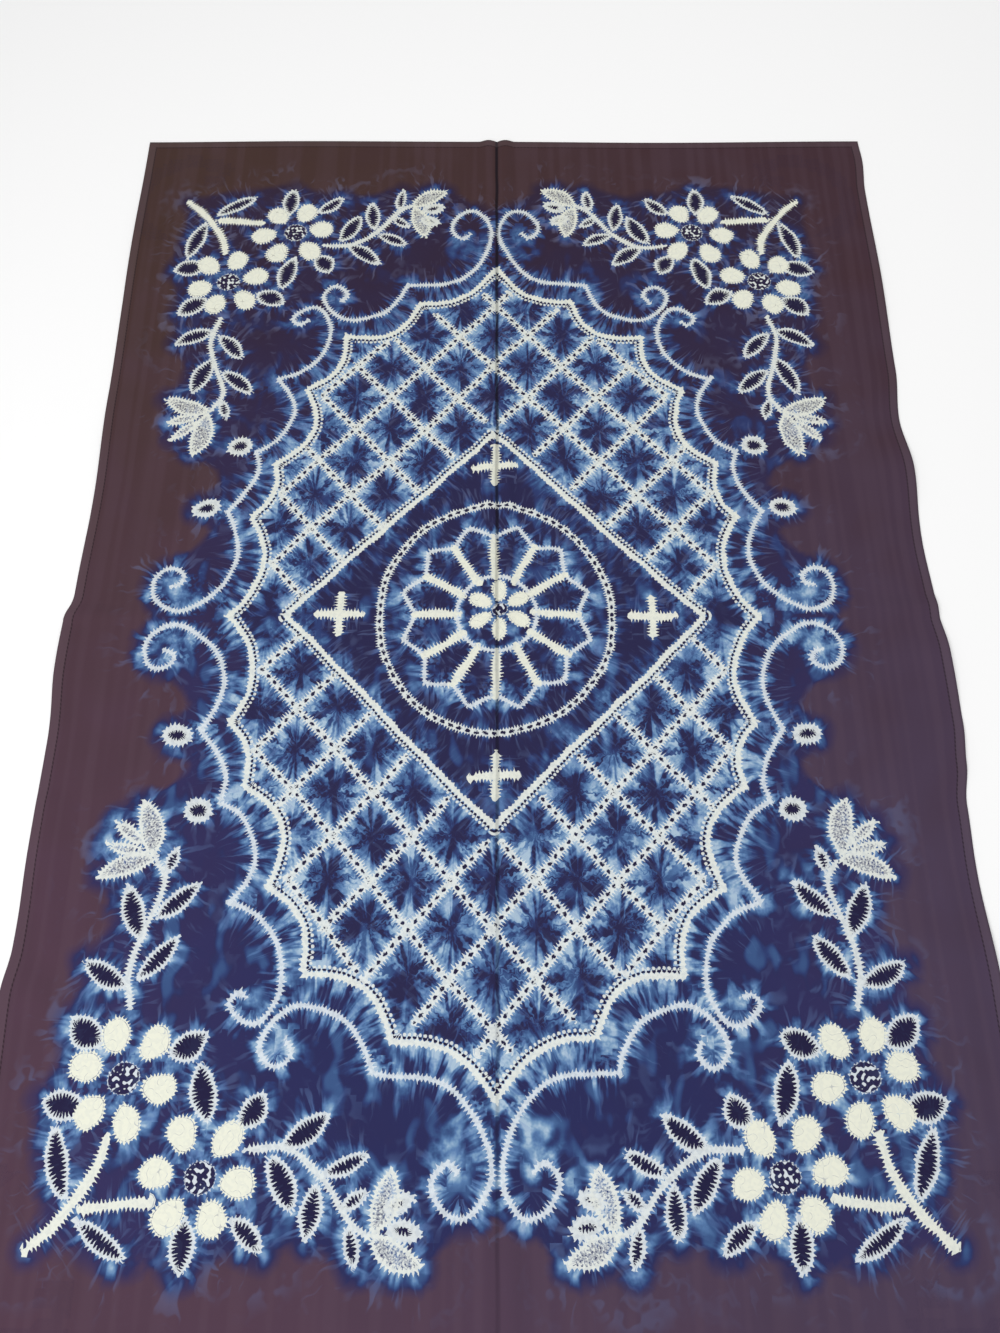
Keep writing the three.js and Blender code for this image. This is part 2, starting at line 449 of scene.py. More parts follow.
    def draw_lattice(self) -> None:
        """The frame and the lattice that fills it round the diamond."""
        self.add(Style.FRAME, self.frame_outline(), closed=True)
        half = np.array(self.lattice_half)
        start = np.array([0.0, self.lattice_start])
        for i0, j0, i1, j1 in self.lattice_lines:
            line = start + half * np.array([(i0, j0), (i1, j1)])
            self.add_to_quarters(Style.LATTICE, line)

    def draw_scrolls(self) -> None:
        """The scrolls outside the frame, with the loops at their joins."""
        for stations in self.scrolls:
            self.add_to_quarters(Style.SCROLL, curve_through(stations))
        for middle, length, width, angle in self.pools:
            self.add_to_quarters(Style.POOL, egg(middle, length, width, angle), True)
        for middle, length, width, angle in self.loops:
            self.add_to_quarters(Style.LOOP, egg(middle, length, width, angle, -0.3), True)

    def draw_sprays(self) -> None:
        """The flowers, twigs, leaves and buds in the corners."""
        for middle, petals in self.flowers:
            self.add_to_quarters(Style.LACE, egg(middle, *self.centre_size, 0), True)
            for dx, dy in petals:
                place = (middle[0] + dx, middle[1] + dy)
                way = math.degrees(math.atan2(dy, dx)) + 180
                petal = egg(place, *self.petal_size, way, *self.petal_shape)
                self.add_to_quarters(Style.PETAL, petal, True)
        for stations in self.twigs:
            self.add_to_quarters(Style.BAR, curve_through(stations))
        for stations in self.stems:
            self.add_to_quarters(Style.STEM, curve_through(stations))
        for base, tip, width, bend in self.leaves:
            self.add_to_quarters(Style.LEAF, leaf(base, tip, width, bend), True)
        for base, tip, width, bend in self.buds:
            self.add_to_quarters(Style.BUD, leaf(base, tip, width, bend), True)
        for middle, length, width, angle in self.bud_loops:
            self.add_to_quarters(Style.LOOP, egg(middle, length, width, angle, 0.3), True)

    def hand_drawn(self, points: np.ndarray) -> np.ndarray:
        """Moves places by the few millimetres that a hand-drawn pattern strays.

        Args:
            points: places in the pattern, one row each.

        Returns:
            The same places, strayed smoothly.
        """
        x, y = points[:, 0], points[:, 1]
        broad_x = 2.2 * np.sin(x / 131 + 1.3) * np.cos(y / 97 + 0.4) + 1.2 * np.sin(y / 43 + 2.0)
        broad_y = 2.4 * np.cos(x / 109 + 0.2) * np.sin(y / 121 + 2.1) + 1.3 * np.sin(x / 47 + 0.7)
        small_x = 0.8 * np.sin(y / 17 + x / 29)
        small_y = 0.8 * np.sin(x / 19 - y / 31)
        return points + np.stack([broad_x + small_x, broad_y + small_y], axis=1)

    def spread_out(self, points: np.ndarray) -> np.ndarray:
        """Moves the near sprays and scrolls a little outwards, as they were drawn larger."""
        share = smooth_share(-points[:, 1], *self.near_spread)[:, None]
        return points * (1 + share * np.array(self.near_stretch))

    def draw(self) -> list[Stroke]:
        """Draws the whole pattern and places it on the cloth.

        Returns:
            All the strokes, in millimetres from the middle of the cloth.
        """
        self.draw_middle()
        self.draw_lattice()
        self.draw_scrolls()
        self.draw_sprays()
        for stroke in self.strokes:
            stroke.points = self.hand_drawn(self.spread_out(stroke.points)) + PATTERN_MIDDLE
        return self.strokes


@dataclass
class StitchMap:
    """Finds the strokes near each face of the cloth, and where the face's corners lie on them."""

    strokes: list[Stroke]
    layers: int = 3
    # How far a stroke tells on the dye, over what length it fades there and beside the next
    # stroke, and how far the search goes.
    reach: float = 62.0
    reach_fade: float = 20.0
    rival_fade: float = 9.0
    field_reach: float = 92.0
    # The search takes this many points of a stroke at a time, and then looks again at those
    # within the window on both sides of the nearest.
    points_at_once: int = 24
    window: int = 6
    # How finely a closed outline is tested for what lies inside it.
    outline_points: int = 260
    # By how much the line is thinner past an open end.
    end_taper: float = 3.0
    # About how far apart two strokes' lengths start, so that their teeth differ.
    start_apart: float = 900.0
    # The dyed field outside the frame: how far past a stroke it reaches, its level, and how
    # it ends beside its outermost strokes. These are looked for in bands, a step apart and
    # with half their width given, and a few bands are taken together.
    rim_reach: float = 34.0
    field_level: float = 0.85
    field_edge: tuple[float, float] = (-10.0, 12.0)
    band_step: float = 10.0
    band_half: float = 24.0
    bands_together: int = 5
    frame_step: int = 4

    def nearest(self, places: np.ndarray, kept: int) -> tuple[np.ndarray, np.ndarray, np.ndarray]:
        """The strokes nearest to each place.

        Args:
            places: the places, one row each.
            kept: how many strokes to keep for each.

        Returns:
            Their distances, their numbers and the nearest point of each, nearest first.
        """
        far = self.field_reach * 2
        best = np.full((len(places), kept), far)
        which = np.full((len(places), kept), -1)
        point = np.zeros((len(places), kept), int)
        for number, stroke in enumerate(self.strokes):
            low = stroke.points.min(0) - self.field_reach
            high = stroke.points.max(0) + self.field_reach
            near = np.nonzero(((places > low) & (places < high)).all(1))[0]
            distance = np.full(len(near), far)
            index = np.zeros(len(near), int)
            for start in range(0, len(stroke.points), self.points_at_once):
                part = stroke.points[start:start + self.points_at_once]
                box = (places[near] > part.min(0) - self.field_reach)
                box &= (places[near] < part.max(0) + self.field_reach)
                chosen = np.nonzero(box.all(1))[0]
                away = np.linalg.norm(places[near[chosen], None] - part[None], axis=2)
                closest = away.argmin(1)
                shortest = away[np.arange(len(chosen)), closest]
                better = shortest < distance[chosen]
                distance[chosen[better]] = shortest[better]
                index[chosen[better]] = closest[better] + start
            within = distance < np.minimum(best[near, -1], self.field_reach)
            rows = near[within]
            best[rows, -1] = distance[within]
            which[rows, -1] = number
            point[rows, -1] = index[within]
            order = np.argsort(best[rows], axis=1, kind="stable")
            for table in (best, which, point):
                table[rows] = np.take_along_axis(table[rows], order, axis=1)
        return best, which, point

    def kept_on(self, stroke: Stroke, index: np.ndarray) -> np.ndarray:
        """Point numbers taken round a closed stroke, or held between an open one's ends."""
        count = len(stroke.points)
        return index % count if stroke.closed else np.clip(index, 0, count - 1)

    def on_stroke(self, stroke: Stroke, places: np.ndarray, start: np.ndarray) -> np.ndarray:
        """How far along a stroke and how far off it some places are.

        Args:
            stroke: the stroke.
            places: four corners for each face, as an array of faces by 4 by 2.
            start: for each face, the stroke's point that is nearest to its middle.

        Returns:
            An array of faces by 4 by 2: the length along and the signed distance off.
        """
        points, count = stroke.points, len(stroke.points)
        shifts = np.arange(-self.window, self.window + 1)
        tries = start[:, None] + shifts
        wrapped = self.kept_on(stroke, tries)
        away = np.linalg.norm(places[:, :, None] - points[wrapped][:, None], axis=3)
        chosen = away.argmin(2)
        step = np.take_along_axis(tries, chosen, axis=1)
        index = np.take_along_axis(wrapped, chosen, axis=1)
        if not stroke.closed:
            step = index
        way = points[self.kept_on(stroke, index + 1)] - points[self.kept_on(stroke, index - 1)]
        spacing = np.linalg.norm(way, axis=2)
        way = way / spacing[..., None]
        offset = places - points[index]
        ahead = (offset * way).sum(2)
        left = way[..., 0] * offset[..., 1] - way[..., 1] * offset[..., 0]
        gap = np.linalg.norm(points[1] - points[0])
        along = step * gap + np.clip(ahead, -gap / 2, gap / 2)
        beyond = np.sign(ahead) * np.maximum(np.abs(ahead) - gap / 2, 0)
        if stroke.closed:
            outline = points[::max(count // self.outline_points, 1)]
            within = inside(outline, places.reshape(-1, 2)).reshape(left.shape)
            off = np.where(within, 1.0, -1.0) * np.hypot(left, beyond)
            return np.stack([along, -off if stroke.flipped else off], axis=2)
        radius = np.hypot(left, beyond)
        middle = places.mean(1) - points[start]
        last = (start == 0) | (start == count - 1)
        past = last & (np.abs((middle * way[np.arange(len(start)), 0]).sum(1)) > gap / 2)
        taper = np.where(np.abs(beyond) > gap / 2, self.end_taper, 0.0)
        signed = np.where(left >= 0, 1.0, -1.0) * (radius + taper)
        off = np.where(past[:, None], radius, signed)
        return np.stack([along, off], axis=2)

    def build(self, corners: np.ndarray) -> list[np.ndarray]:
        """Works out what each face's corners need to know about the strokes near the face.

        Args:
            corners: the corners' places, as an array of faces by 4 by 2.

        Returns:
            For each layer an array of faces by 4 by 3: the length along the stroke, the
            distance off it, and its style's number plus a part for how surely it counts.
        """
        flat = corners.reshape(-1, 2)
        unique, back = np.unique(flat.round(3), axis=0, return_inverse=True)
        limits = self.nearest(unique, self.layers + 1)[0][:, -1]
        limit = limits[back.reshape(-1)].reshape(corners.shape[:2])
        _, which, point = self.nearest(corners.mean(1), self.layers)
        result = []
        for layer in range(self.layers):
            values = np.zeros((*corners.shape[:2], 3))
            values[..., 1] = self.reach
            for number in np.unique(which[:, layer]):
                if number < 0:
                    continue
                rows = np.nonzero(which[:, layer] == number)[0]
                stroke = self.strokes[number]
                placed = self.on_stroke(stroke, corners[rows], point[rows, layer])
                pitch = LOOKS[stroke.style].hole_pitch
                apart = pitch * round(self.start_apart / pitch)
                away = np.abs(placed[..., 1])
                sure = np.clip((limit[rows] - away) / self.rival_fade, 0, 1)
                sure *= np.clip((self.reach - away) / self.reach_fade, 0, 1)
                values[rows, :, 0] = placed[..., 0] + apart * (number + 1)
                values[rows, :, 1] = placed[..., 1]
                values[rows, :, 2] = stroke.style.value + SURE_SCALE * sure
            result.append(values)
        return result

    def presence(self, places: np.ndarray) -> np.ndarray:
        """How far in the pattern each place is.

        Args:
            places: the places, one row each.

        Returns:
            For each 1 inside the frame, the field's level among the strokes outside it, and
            less from there out to 0 on the plain border.
        """
        outline = next(s.points for s in self.strokes if s.style is Style.FRAME)
        drawn = np.abs(np.vstack([s.points for s in self.strokes]) - PATTERN_MIDDLE)
        spread = np.abs(places - PATTERN_MIDDLE)
        margins = []
        for one, other in ((0, 1), (1, 0)):
            steps = np.arange(0.0, drawn.max() + self.band_half, self.band_step)
            ends = np.array([
                np.max(drawn[np.abs(drawn[:, other] - step) < self.band_half, one], initial=0)
                for step in steps])
            together = np.ones(self.bands_together) / self.bands_together
            ends = np.convolve(np.pad(ends, self.bands_together // 2, "edge"), together, "valid")
            margins.append(np.interp(spread[:, other], steps, ends) - spread[:, one])
        field_share = smooth_share(np.minimum(*margins), *self.field_edge)
        near = smooth_share(-self.nearest(places, 1)[0][:, 0], -self.rim_reach, 0.0)
        beside = np.maximum(field_share, near) * self.field_level
        return np.where(inside(outline[::self.frame_step], places), 1.0, beside)


def smooth_share(value: np.ndarray, low: float | np.ndarray,
                 high: float | np.ndarray) -> np.ndarray:
    """0 below low, 1 above high and smooth between them."""
    share = np.clip((value - low) / (high - low), 0, 1)
    return share * share * (3 - 2 * share)


def hump(distance: np.ndarray, half: float) -> np.ndarray:
    """A soft hump, 1 at its middle and 0 from half its width on."""
    return (1 - np.minimum(np.abs(distance) / half, 1) ** 2) ** 2


def steady_order(part: bmesh.types.BMEdge | bmesh.types.BMFace) -> int:
    """A number of the part's own. Extruding leaves the edge's faces in a new order each run."""
    numbers = [vertex.index for vertex in part.verts]
    return min(numbers) * MOST_POINTS + max(numbers)


@dataclass
class ClothSheet:
    """The cloth itself: one panel with its hem, lying on the folds of its solid."""

    thickness: float = 1.0
    hem_rise: float = 0.6
    # The mesh's lines: how far apart in the pattern and in the border, how far out the
    # pattern goes both ways, and how far in from the edge the hem's lines are.
    pattern_cell: float = 6.45
    border_cell: float = 9.0
    pattern_reach: tuple[float, float] = (500.0, 722.0)
    hem_lines: tuple = (
        0.0, 4.0, 8.0, HEM_WIDTH - 1, HEM_WIDTH, HEM_WIDTH + HEM_STEP, HEM_WIDTH + 6)
    # Closer lines at the two folds: a start, an end and a spacing.
    fold_lines: tuple = (
        (FOLD_X - 26.5, FOLD_X - 3.5, 3.9), (FOLD_X - 3.5, FOLD_X + 3.5, 1.4),
        (FOLD_X + 3.5, FOLD_X + 26.5, 3.9))
    cross_lines: tuple = ((-24.0, 36.0, 4.0),)

    # The lengthwise fold: its place, how far off its two flanks are, half their width, their
    # rise at the far and at the near end, and how far the change between these reaches.
    centre_fold: tuple = (FOLD_X, 13.0, 15.0, 3.4, 1.8, 260.0)
    # The pressed line between the flanks: half its width, its depth at the far end, the share
    # of that at the near end, and how far the change between these reaches.
    fold_groove: tuple = (2.6, 0.9, 0.35, 300.0)
    # The most of the thickness that the groove takes.
    groove_share: float = 0.6
    # The fold across: its place at the left and the right edge, half its width, its rise in
    # the border and in the middle, and how wide the border is.
    cross_fold: tuple = (0.0, 12.0, 22.0, 3.6, 1.4, 150.0)
    # Soft creases: both ends of each, half its width and its rise.
    border_creases: tuple = (
        (-500, 150, -490, 30, 26, 2.2), (-489, -25, -487, -210, 28, 2.6),
        (-532, -240, -512, -390, 24, 2.4), (-536, -430, -497, -468, 26, 2.0),
        (500, 470, 512, 330, 26, 1.8), (505, -330, 498, -520, 28, 2.2))
    # Where a side edge stands up: its place, half its length, how far in it goes, its rise.
    left_lifts: tuple = (
        (-45, 85, 60, 4.2), (240, 120, 46, 2.6), (-425, 80, 50, 3.4), (610, 130, 46, 2.2),
        (-680, 90, 50, 2.6))
    right_lifts: tuple = (
        (215, 75, 52, 3.8), (-60, 80, 56, 4.4), (-175, 50, 46, 3.0), (520, 150, 46, 2.4),
        (-420, 90, 50, 3.0), (-690, 80, 46, 2.4))
    # How far out each edge strays, from place to place along it.
    left_edge: tuple = (
        (-800, -1), (-610, -3), (-450, 2), (-400, -4), (-290, -1), (-160, -2), (-70, 3),
        (-8, 2.5), (30, -5), (190, -9), (330, -5), (560, -2), (800, -3))
    right_edge: tuple = (
        (-800, -4), (-660, -2), (-450, -7), (-310, -12), (-240, -10), (-190, -3), (-135, 2.5),
        (-45, 1), (10, -4), (105, -8), (215, -3), (292, -10), (375, -3), (560, -0.5),
        (700, -1), (760, 3), (800, 1))
    near_edge: tuple = ((-550, -2), (-240, 2), (-9, -1), (260, 1.5), (550, -3))
    far_edge: tuple = ((-550, -1), (-300, 1.5), (-9, 0), (240, -2), (550, 1))
    edge_blend: float = 90.0

    def lines(self, half: float, reach: float, fine: tuple) -> np.ndarray:
        """Where the mesh lines run across the cloth or along it.

        Args:
            half: half the cloth's size that way.
            reach: how far out the pattern goes that way.
            fine: stretches with closer lines, each a start, an end and a spacing.

        Returns:
            The places of the lines, in order.
        """
        places = [half - inwards for inwards in self.hem_lines]
        places += self.filled_in(places[-1], reach, self.border_cell)
        stops = [-reach]
        cell = self.pattern_cell
        for start, end, spacing in fine:
            stops += self.filled_in(stops[-1], start, cell)
            stops += self.filled_in(start, end, spacing)
        stops += self.filled_in(stops[-1], reach, cell)
        middle = [stop for stop in stops if abs(stop) < reach - 0.5]
        return np.array(sorted([-p for p in places] + middle + places))

    def filled_in(self, start: float, end: float, spacing: float) -> list[float]:
        """The even places after one place and up to another, about a spacing apart."""
        return list(np.linspace(start, end, round(abs(end - start) / spacing) + 1)[1:])

    def stray(self, table: tuple, place: np.ndarray) -> np.ndarray:
        """How far outwards an edge strays from a straight cut, read smoothly off its table."""
        at, out = np.array(table, float).T
        index = np.clip(np.searchsorted(at, place) - 1, 0, len(at) - 2)
        share = smooth_share(place, at[index], at[index + 1])
        return out[index] * (1 - share) + out[index + 1] * share

    def strayed(self, x: np.ndarray, y: np.ndarray) -> tuple[np.ndarray, np.ndarray]:
        """Where places of the straight cut lie once the edges stray."""
        wide, long, blend = HALF_WIDTH, HALF_LENGTH, self.edge_blend
        left = -self.stray(self.left_edge, y) * smooth_share(-x, wide - blend, wide)
        right = self.stray(self.right_edge, y) * smooth_share(x, wide - blend, wide)
        near = -self.stray(self.near_edge, x) * smooth_share(-y, long - blend, long)
        far = self.stray(self.far_edge, x) * smooth_share(y, long - blend, long)
        return x + left + right, y + near + far

    def crease(self, line: tuple, x: np.ndarray, y: np.ndarray) -> np.ndarray:
        """The rise of one soft crease, which dies away past both of its ends."""
        x0, y0, x1, y1, half, rise = line
        along_x, along_y = x1 - x0, y1 - y0
        share = ((x - x0) * along_x + (y - y0) * along_y) / (along_x**2 + along_y**2)
        share = np.clip(share, 0, 1)
        distance = np.hypot(x - x0 - share * along_x, y - y0 - share * along_y)
        return rise * hump(distance, half)

    def lift(self, table: tuple, inwards: np.ndarray, y: np.ndarray) -> np.ndarray:
        """How far a side edge's lifts raise the cloth, by how far in from that edge it is."""
        total = np.zeros_like(y)
        for middle, half, reach, rise in table:
            total += rise * np.maximum(1 - inwards / reach, 0) ** 2 * hump(y - middle, half)
        return total

    def underside(self, x: np.ndarray, y: np.ndarray) -> np.ndarray:
        """How far the cloth's underside stands off the surface."""
        fold_x, flank_at, flank_half, far_rise, near_rise, blend = self.centre_fold
        far = smooth_share(y, -blend, blend)
        rise = near_rise + (far_rise - near_rise) * far
        heights = [rise * hump(np.abs(x - fold_x) - flank_at, flank_half)]
        left_y, right_y, half, border_rise, middle_rise, border = self.cross_fold
        middle = left_y + (right_y - left_y) * (x + HALF_WIDTH) / CLOTH_WIDTH
        in_border = smooth_share(np.abs(x), HALF_WIDTH - border, HALF_WIDTH)
        cross_rise = middle_rise + (border_rise - middle_rise) * in_border
        heights.append(cross_rise * hump(y - middle, half))
        heights.append(self.lift(self.left_lifts, HALF_WIDTH + x, y))
        heights.append(self.lift(self.right_lifts, HALF_WIDTH - x, y))
        heights += [self.crease(line, x, y) for line in self.border_creases]
        return np.max(heights, axis=0)

    def thickness_at(self, x: np.ndarray, y: np.ndarray) -> np.ndarray:
        """The cloth's thickness, with the hem turned under and the pressed line of the fold."""
        inwards = np.minimum(HALF_WIDTH - np.abs(x), HALF_LENGTH - np.abs(y))
        hem = 1 - smooth_share(inwards, HEM_WIDTH, HEM_WIDTH + HEM_STEP)
        half, depth, near_share, blend = self.fold_groove
        sharpness = near_share + (1 - near_share) * smooth_share(y, -blend, blend)
        groove = depth * hump(x - self.centre_fold[0], half) * sharpness
        groove = np.minimum(groove, self.thickness * self.groove_share)
        return self.thickness + self.hem_rise * hem - groove

    def build(self) -> bpy.types.Object:
        """Makes the sheet: a grid laid on the folds, and the same grid raised by the thickness.

        Returns:
            The finished mesh object, with each point's place on the flat panel kept on it.
        """
        columns = self.lines(HALF_WIDTH, self.pattern_reach[0], self.fold_lines)
        rows = self.lines(HALF_LENGTH, self.pattern_reach[1], self.cross_lines)
        across, along = len(columns) - 1, len(rows) - 1
        grid = bmesh.new()
        panel = grid.verts.layers.float_vector.new("panel")
        bmesh.ops.create_grid(grid, x_segments=across, y_segments=along, size=1.0)
        spots = np.array([vertex.co for vertex in grid.verts])
        x = columns[np.rint((spots[:, 0] + 1) / 2 * across).astype(int)]
        y = rows[np.rint((spots[:, 1] + 1) / 2 * along).astype(int)]
        placed_x, placed_y = self.strayed(x, y)
        shift_x = (placed_x.max() + placed_x.min()) / 2
        shift_y = (placed_y.max() + placed_y.min()) / 2
        height = self.underside(x, y)
        for index, vertex in enumerate(grid.verts):
            vertex[panel] = (x[index], y[index], 0.0)
            place = (placed_x[index] - shift_x, placed_y[index] - shift_y, height[index])
            vertex.co = [value * MM for value in place]
        made = bmesh.ops.extrude_face_region(grid, geom=grid.faces[:], use_keep_orig=True)
        raised = [item for item in made["geom"] if isinstance(item, bmesh.types.BMVert)]
        flat = np.array([vertex[panel] for vertex in raised])
        rise = self.thickness_at(flat[:, 0], flat[:, 1])
        for vertex, up in zip(raised, rise):
            vertex.co.z += up * MM
        bmesh.ops.recalc_face_normals(grid, faces=grid.faces[:])
        for face in grid.faces:
            face.smooth = True
        grid.verts.index_update()
        for parts in (grid.edges, grid.faces):
            parts.sort(key=steady_order)
        mesh = bpy.data.meshes.new("tablecloth")
        grid.to_mesh(mesh)
        grid.free()
        log.info("sheet: %d columns, %d rows, %d faces", across, along, len(mesh.polygons))
        piece = bpy.data.objects.new("tablecloth", mesh)
        bpy.context.scene.collection.objects.link(piece)
        return piece


def write_stitches(piece: bpy.types.Object, stitches: StitchMap) -> None:
    """Keeps on the mesh where each face lies among the strokes.

    The panel's third value is the presence on the cloth's face, and -1 less the presence on
    its underside.

    Args:
        piece: the cloth.
        stitches: the map of the pattern's strokes.
    """
    mesh = piece.data
    loops = np.zeros(len(mesh.loops), int)
    mesh.loops.foreach_get("vertex_index", loops)
    panel = np.zeros(len(mesh.vertices) * 3)
    mesh.attributes["panel"].data.foreach_get("vector", panel)
    panel = panel.reshape(-1, 3)
    corners = panel[loops][:, :2].reshape(-1, 4, 2)
    for layer, values in enumerate(stitches.build(corners), start=1):
        attribute = mesh.attributes.new(f"stitch_{layer}", "FLOAT_VECTOR", "CORNER")
        attribute.data.foreach_set("vector", values.reshape(-1).astype(np.float32))
    spots, back = np.unique(panel[:, :2].round(3), axis=0, return_inverse=True)
    presence = stitches.presence(spots)[back.reshape(-1)]
    lower = np.arange(len(panel)) < len(panel) // 2
    panel[:, 2] = np.where(lower, -1 - presence, presence)
    mesh.attributes["panel"].data.foreach_set("vector", panel.reshape(-1).astype(np.float32))


def linear(shade: str) -> tuple[float, float, float]:
    """The light that a screen colour such as "2b2c58" stands for."""
    values = [int(shade[at:at + 2], 16) / 255 for at in (0, 2, 4)]
    return tuple(v / 12.92 if v <= 0.04045 else ((v + 0.055) / 1.055) ** 2.4 for v in values)


class Wire:
    """One value on its way through a node tree. Arithmetic on it adds Math nodes."""

    def __init__(self, tree: "DyeTree", socket: bpy.types.NodeSocket) -> None:
        """Keeps the tree that the value is in, and the socket that it comes out of."""
        self.tree = tree
        self.socket = socket

    def __add__(self, other: "Wire | float") -> "Wire":
        """The sum."""
        return self.tree.math("ADD", self, other)

    def __radd__(self, other: float) -> "Wire":
        """The sum."""
        return self.tree.math("ADD", other, self)

    def __sub__(self, other: "Wire | float") -> "Wire":
        """The difference."""
        return self.tree.math("SUBTRACT", self, other)

    def __rsub__(self, other: float) -> "Wire":
        """The difference."""
        return self.tree.math("SUBTRACT", other, self)

    def __mul__(self, other: "Wire | float") -> "Wire":
        """The product."""
        return self.tree.math("MULTIPLY", self, other)

    def __truediv__(self, other: "Wire | float") -> "Wire":
        """The quotient."""
        return self.tree.math("DIVIDE", self, other)

    def __abs__(self) -> "Wire":
        """The size without its sign."""
        return self.tree.math("ABSOLUTE", self)

    def floor(self) -> "Wire":
        """The whole number below."""
        return self.tree.math("FLOOR", self)

    def least(self, other: "Wire | float") -> "Wire":
        """The smaller of the two."""
        return self.tree.math("MINIMUM", self, other)

    def most(self, other: "Wire | float") -> "Wire":
        """The larger of the two."""
        return self.tree.math("MAXIMUM", self, other)

    def above(self, other: "Wire | float") -> "Wire":
        """1 where this is larger than the other, and 0 elsewhere."""
        return self.tree.math("GREATER_THAN", self, other)

    def power(self, other: float) -> "Wire":
        """This raised to a power."""
        return self.tree.math("POWER", self, other)

    def clamped(self) -> "Wire":
        """The value kept between 0 and 1."""
        return self.most(0.0).least(1.0)

    def sloped(self, low: float, high: float) -> "Wire":
        """0 at low, 1 at high and smooth between them; low may be the larger."""
        node = self.tree.node("ShaderNodeMapRange", interpolation_type="SMOOTHSTEP")
        self.tree.feed(node.inputs["Value"], self)
        node.inputs["From Min"].default_value = low
        node.inputs["From Max"].default_value = high
        return Wire(self.tree, node.outputs["Result"])


class DyeTree:
    """Adds nodes to a node tree, with short names for the kinds that the dye uses."""

    def __init__(self, nodes: bpy.types.NodeTree) -> None:
        """Keeps the tree that the nodes go in."""
        self.nodes = nodes

    def node(self, kind: str, **settings: object) -> bpy.types.Node:
        """A new node of that kind with those settings."""
        made = self.nodes.nodes.new(kind)
        for name, value in settings.items():
            setattr(made, name, value)
        return made

    def feed(self, socket: bpy.types.NodeSocket, value: object) -> None:
        """Joins a value to a socket, or sets it to a constant; a text is a screen colour."""
        if isinstance(value, Wire):
            self.nodes.links.new(value.socket, socket)
        elif isinstance(value, str):
            socket.default_value = (*linear(value), 1.0)
        elif value is not None:
            socket.default_value = value

    def math(self, operation: str, first: object, second: object = None) -> Wire:
        """One Math node."""
        made = self.node("ShaderNodeMath", operation=operation)
        self.feed(made.inputs[0], first)
        self.feed(made.inputs[1], second)
        return Wire(self, made.outputs[0])

    def place(self, x: object, y: object, z: object = 0.0) -> Wire:
        """A vector of three values."""
        made = self.node("ShaderNodeCombineXYZ")
        for socket, value in zip(made.inputs, (x, y, z)):
            self.feed(socket, value)
        return Wire(self, made.outputs[0])

    def parts(self, vector: Wire) -> tuple[Wire, Wire, Wire]:
        """The three values of a vector."""
        made = self.node("ShaderNodeSeparateXYZ")
        self.feed(made.inputs[0], vector)
        return tuple(Wire(self, output) for output in made.outputs)

    def noise(self, x: Wire, y: Wire, size: float, detail: float = 0.0,
              rough: float = 0.5) -> Wire:
        """Smooth noise from about 0.2 to 0.8.

        Args:
            x: the place across.
            y: the place along.
            size: how large its features are.
            detail: how many finer layers it has.
            rough: how strong each finer layer is.

        Returns:
            The noise.
        """
        made = self.node("ShaderNodeTexNoise", noise_dimensions="2D")
        self.feed(made.inputs["Vector"], self.place(x, y))
        made.inputs["Scale"].default_value = 1.0 / size
        made.inputs["Detail"].default_value = detail
        made.inputs["Roughness"].default_value = rough
        return Wire(self, made.outputs["Fac"])

    def chance(self, where: Wire) -> Wire:
        """A steady random value from 0 to 1 for each different input."""
        made = self.node("ShaderNodeTexWhiteNoise", noise_dimensions="1D")
        self.feed(made.inputs["W"], where)
        return Wire(self, made.outputs["Value"])

    def blend(self, share: object, first: object, second: object) -> Wire:
        """A colour between two colours."""
        made = self.node("ShaderNodeMix", data_type="RGBA")
        self.feed(made.inputs[0], share)
        self.feed(made.inputs[6], first)
        self.feed(made.inputs[7], second)
        return Wire(self, made.outputs[2])

    def shades(self, value: Wire, stops: list[tuple[float, tuple]], stepped: bool = False) -> Wire:
        """A colour read off a ramp."""
        made = self.node("ShaderNodeValToRGB")
        ramp = made.color_ramp
        ramp.interpolation = "CONSTANT" if stepped else "LINEAR"
        while len(ramp.elements) < len(stops):
            ramp.elements.new(1.0)
        for element, (at, colour) in zip(ramp.elements, stops):
            element.position = at
            element.color = (*colour, 1.0)
        self.feed(made.inputs[0], value)
        return Wire(self, made.outputs["Color"])

    def attribute(self, name: str) -> Wire:
        """A vector kept on the mesh."""
        made = self.node("ShaderNodeAttribute", attribute_name=name)
        return Wire(self, made.outputs["Vector"])


STYLE_SLOTS = 16


